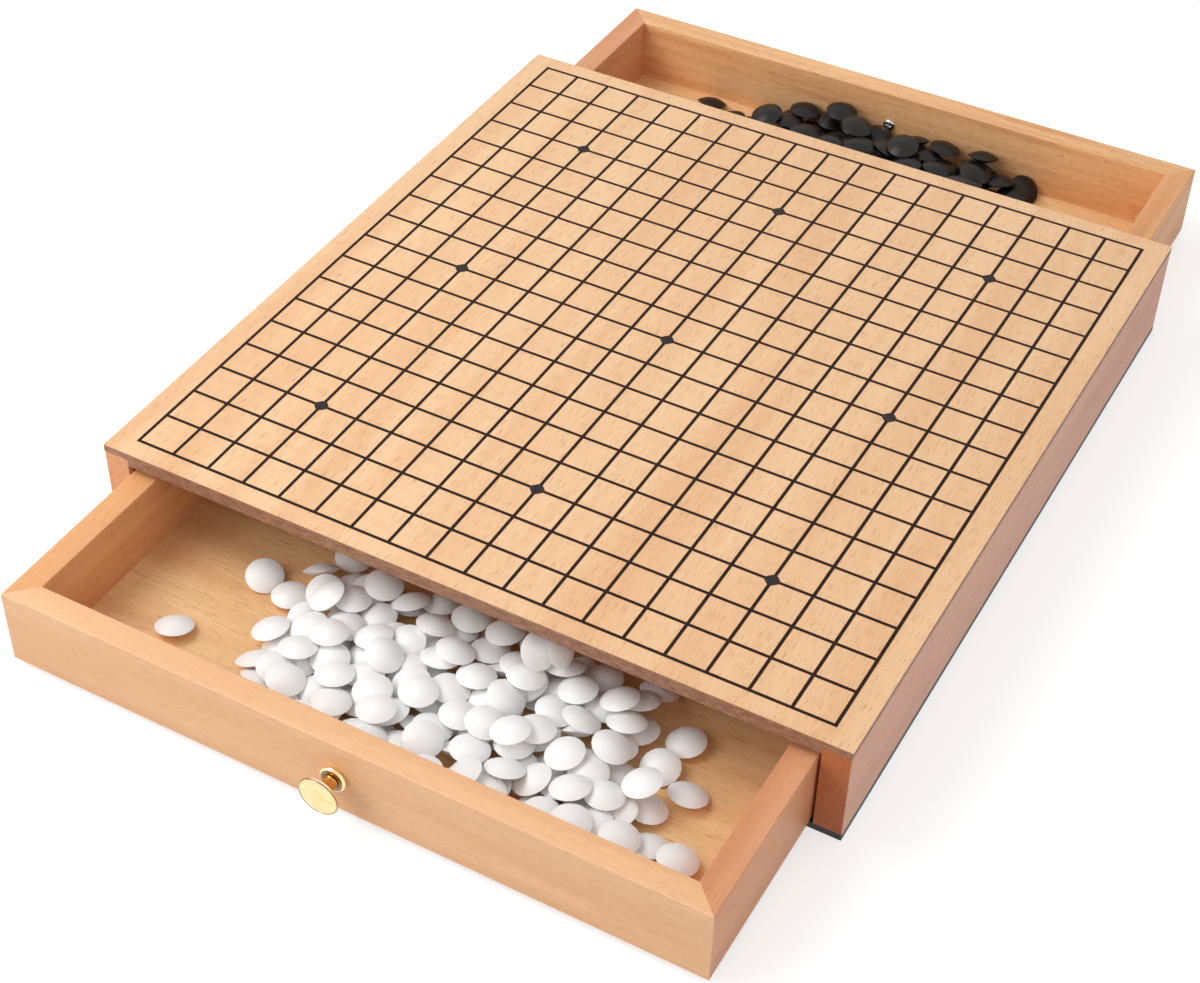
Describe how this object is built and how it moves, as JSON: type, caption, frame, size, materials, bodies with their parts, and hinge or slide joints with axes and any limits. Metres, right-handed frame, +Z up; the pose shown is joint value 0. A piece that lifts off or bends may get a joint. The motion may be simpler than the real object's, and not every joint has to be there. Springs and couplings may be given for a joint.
{
  "type": "go board with stone drawers",
  "caption": "Wooden go board with a printed grid on a case whose two brass-knobbed drawers, full of loose stones, slide out at front and back.",
  "frame": {"origin": "middle of the flat underside, on the resting plane", "axes": "+X right along the grid rows, +Y back towards the drawer of black stones, +Z up out of the playing surface"},
  "size_m": [0.424, 0.6898, 0.0611],
  "materials": {
    "felt": "black felt",
    "black_board": "black-stained fibreboard, satin",
    "beech_wall": "pinkish beech under satin lacquer",
    "fibreboard": "reddish-brown fibreboard, sealed edge",
    "beech_top": "pale beech veneer, satin lacquer",
    "grid_ink": "brown-black printed ink",
    "star_ink": "dark printed ink",
    "drawer_wood": "orange-tan beech, satin lacquer",
    "drawer_floor": "yellowish-brown plywood",
    "knob_brass": "polished",
    "bolt_steel": "bright plated steel",
    "white_stone": "smooth warm white, soft satin",
    "black_stone": "smooth black, satin"
  },
  "bodies": {
    "case": {"base_felt": "felt", "base_board": "black_board", "left_side_wall": "beech_wall", "right_side_wall": "beech_wall", "centre_divider": "beech_wall", "top_panel": "fibreboard", "surface_veneer": "beech_top", "grid_lines": "grid_ink", "star_points": "star_ink"},
    "front_drawer": {"front_drawer_face": "drawer_wood", "front_drawer_back": "drawer_wood", "front_drawer_left_side": "drawer_wood", "front_drawer_right_side": "drawer_wood", "front_drawer_floor": "drawer_floor", "front_drawer_knob": "knob_brass", "front_drawer_knob_bolt": "bolt_steel", "white_stones": "white_stone"},
    "rear_drawer": {"rear_drawer_face": "drawer_wood", "rear_drawer_back": "drawer_wood", "rear_drawer_left_side": "drawer_wood", "rear_drawer_right_side": "drawer_wood", "rear_drawer_floor": "drawer_floor", "rear_drawer_knob": "knob_brass", "rear_drawer_knob_bolt": "bolt_steel", "black_stones": "black_stone"}
  },
  "joints": [
    {"name": "front_drawer_slide", "type": "slide", "parent": "case", "child": "front_drawer", "axis": [0, -1, 0], "range_m": [-0.104, 0.076]},
    {"name": "rear_drawer_slide", "type": "slide", "parent": "case", "child": "rear_drawer", "axis": [0, 1, 0], "range_m": [-0.104, 0.076]}
  ]
}
